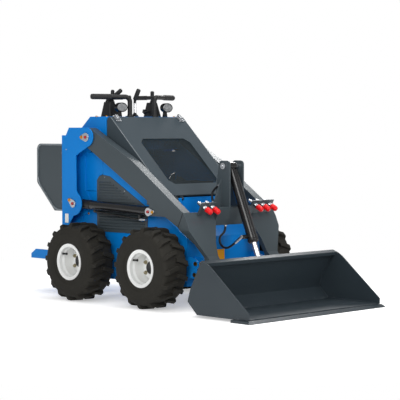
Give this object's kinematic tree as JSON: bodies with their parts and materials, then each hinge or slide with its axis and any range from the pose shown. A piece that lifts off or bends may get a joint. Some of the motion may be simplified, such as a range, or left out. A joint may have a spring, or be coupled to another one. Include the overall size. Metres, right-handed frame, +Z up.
{
  "type": "stand-on mini wheeled skid steer loader",
  "caption": "Blue and grey stand-on wheeled skid steer loader with four lugged tyres, twin lift arms, a bucket on the ground and a fold-up rear platform.",
  "frame": {"origin": "on the ground under the middle of the length and width, wheels and bucket edge resting on z = 0", "axes": "+X forward towards the bucket, +Y to the machine left, +Z up"},
  "size_m": [2.32, 1.226, 1.3624],
  "materials": {
    "blue_paint": "satin",
    "grey_paint": "satin",
    "black_metal": "satin",
    "white_paint": "satin",
    "tyre": "matte",
    "chrome": "polished",
    "zinc": "satin",
    "black_plastic": "matte",
    "red_plastic": "gloss",
    "engine_iron": "matte",
    "pad": "matte",
    "hose": "satin",
    "lens": "gloss"
  },
  "bodies": {
    "chassis": {"hull": "blue_paint", "front_cowl": "blue_paint", "console": "blue_paint", "rear_panel": "blue_paint", "side_panels": "blue_paint", "thigh_pad": "pad", "louvre_panels": "grey_paint", "engine_block": "engine_iron", "pillars": "blue_paint", "pillar_pins": "zinc", "guards": "grey_paint", "axle_housings": "black_metal", "step_brackets": "blue_paint", "handlebar": "black_plastic", "control_pods": "black_plastic", "levers": "black_plastic", "work_lamps": "black_plastic", "lamp_lenses": "lens", "front_pins": "zinc"},
    "hood_lid": {"hood": "grey_paint", "hood_mesh": "black_metal", "hood_latches": "zinc"},
    "boom": {"arm_right": "grey_paint", "arm_left": "grey_paint", "boom_bridge": "grey_paint", "boom_pins": "zinc", "couplers": "zinc", "coupler_caps": "red_plastic", "hose_tilt": "hose", "hose_tower": "hose", "hose_nuts": "zinc"},
    "tool": {"attach_plate": "grey_paint", "bucket": "grey_paint", "cutting_edge": "grey_paint"},
    "step": {"platform": "blue_paint"},
    "tilt_cylinder": {"tilt_barrel": "black_metal"},
    "tilt_piston": {"tilt_rod": "chrome"},
    "wheel_front_right": {"tyre_front_right": "tyre", "rim_front_right": "white_paint", "hub_front_right": "black_metal"},
    "wheel_front_left": {"tyre_front_left": "tyre", "rim_front_left": "white_paint", "hub_front_left": "black_metal"},
    "wheel_rear_right": {"tyre_rear_right": "tyre", "rim_rear_right": "white_paint", "hub_rear_right": "black_metal"},
    "wheel_rear_left": {"tyre_rear_left": "tyre", "rim_rear_left": "white_paint", "hub_rear_left": "black_metal"},
    "lift_cylinder_right": {"lift_barrel_right": "black_metal"},
    "lift_piston_right": {"lift_rod_right": "chrome"},
    "lift_cylinder_left": {"lift_barrel_left": "black_metal"},
    "lift_piston_left": {"lift_rod_left": "chrome"}
  },
  "joints": [
    {"name": "wheel_front_right_spin", "type": "hinge", "parent": "chassis", "child": "wheel_front_right", "pos_m": [0.198, -0.47, 0.25], "axis": [0, 1, 0], "continuous": true},
    {"name": "wheel_front_left_spin", "type": "hinge", "parent": "chassis", "child": "wheel_front_left", "pos_m": [0.198, 0.47, 0.25], "axis": [0, 1, 0], "continuous": true},
    {"name": "wheel_rear_right_spin", "type": "hinge", "parent": "chassis", "child": "wheel_rear_right", "pos_m": [-0.472, -0.47, 0.25], "axis": [0, 1, 0], "continuous": true},
    {"name": "wheel_rear_left_spin", "type": "hinge", "parent": "chassis", "child": "wheel_rear_left", "pos_m": [-0.472, 0.47, 0.25], "axis": [0, 1, 0], "continuous": true},
    {"name": "boom_lift", "type": "hinge", "parent": "chassis", "child": "boom", "pos_m": [-0.47, 0, 1.044], "axis": [0, -1, 0], "range_deg": [0, 74]},
    {"name": "tool_tilt", "type": "hinge", "parent": "boom", "child": "tool", "pos_m": [0.6, 0, 0.195], "axis": [0, 1, 0], "range_deg": [-25, 95]},
    {"name": "hood_open", "type": "hinge", "parent": "chassis", "child": "hood_lid", "pos_m": [0.192, 0, 0.664], "axis": [0, 1, 0], "range_deg": [0, 60]},
    {"name": "step_fold", "type": "hinge", "parent": "chassis", "child": "step", "pos_m": [-0.7, 0, 0.24], "axis": [0, 1, 0], "range_deg": [0, 88]},
    {"name": "lift_barrel_right_pivot", "type": "hinge", "parent": "boom", "child": "lift_cylinder_right", "pos_m": [0.106, -0.369, 0.586], "axis": [0, -1, 0], "range_deg": [-23, 0.5]},
    {"name": "lift_rod_right_stroke", "type": "slide", "parent": "lift_cylinder_right", "child": "lift_piston_right", "axis": [-0.9993, 0, 0.0383], "range_m": [0, 0.425]},
    {"name": "lift_barrel_left_pivot", "type": "hinge", "parent": "boom", "child": "lift_cylinder_left", "pos_m": [0.106, 0.369, 0.586], "axis": [0, -1, 0], "range_deg": [-23, 0.5]},
    {"name": "lift_rod_left_stroke", "type": "slide", "parent": "lift_cylinder_left", "child": "lift_piston_left", "axis": [-0.9993, 0, 0.0383], "range_m": [0, 0.425]},
    {"name": "tilt_barrel_pivot", "type": "hinge", "parent": "boom", "child": "tilt_cylinder", "pos_m": [0.423, 0, 0.868], "axis": [0, -1, 0], "range_deg": [-1.5, 1]},
    {"name": "tilt_rod_stroke", "type": "slide", "parent": "tilt_cylinder", "child": "tilt_piston", "axis": [0.3859, 0, -0.9226], "range_m": [-0.05, 0.17]}
  ],
  "couplings": [
    {"joint": "lift_barrel_right_pivot", "follows": "boom_lift", "ratio": -0.29875},
    {"joint": "lift_rod_right_stroke", "follows": "boom_lift", "m_per_rad": 0.32525},
    {"joint": "lift_barrel_left_pivot", "follows": "boom_lift", "ratio": -0.29875},
    {"joint": "lift_rod_left_stroke", "follows": "boom_lift", "m_per_rad": 0.32525},
    {"joint": "tilt_barrel_pivot", "follows": "tool_tilt", "ratio": -0.01},
    {"joint": "tilt_rod_stroke", "follows": "tool_tilt", "m_per_rad": 0.1}
  ]
}
